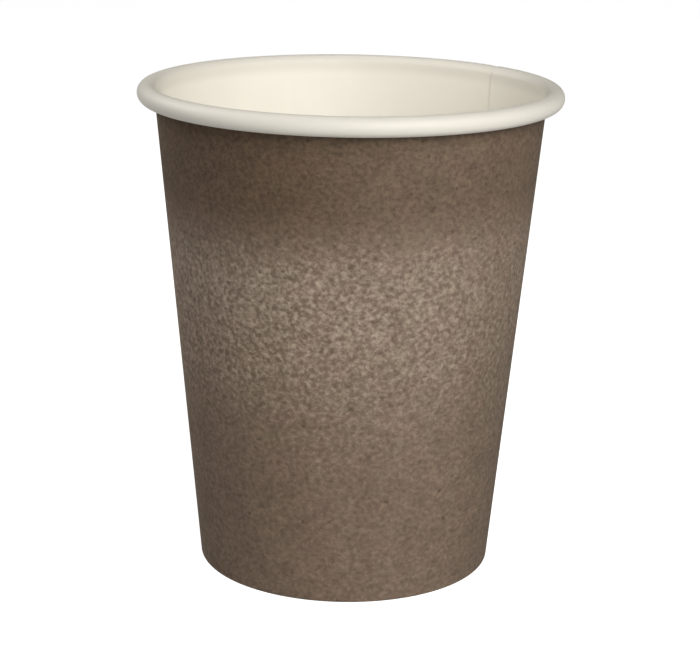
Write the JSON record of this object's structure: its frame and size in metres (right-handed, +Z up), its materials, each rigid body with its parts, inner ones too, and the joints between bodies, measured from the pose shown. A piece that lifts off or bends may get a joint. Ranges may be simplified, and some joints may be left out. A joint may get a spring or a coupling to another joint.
{
  "type": "paper coffee cup",
  "caption": "Single-wall paper cup: a conical sheet with a glued side seam and a rolled rim, its foot folded around a recessed paper bottom.",
  "frame": {"origin": "centre of the ring that the cup stands on, at the table", "axes": "+Z up along the cup's axis; the side seam's inner edge is at 40 degrees anticlockwise from +X, and -Y faces the viewer"},
  "size_m": [0.08, 0.08, 0.093],
  "materials": {
    "brown_board": "matte",
    "white_board": "satin"
  },
  "bodies": {
    "root": {"sidewall": "brown_board", "bottom": "white_board"}
  },
  "joints": []
}
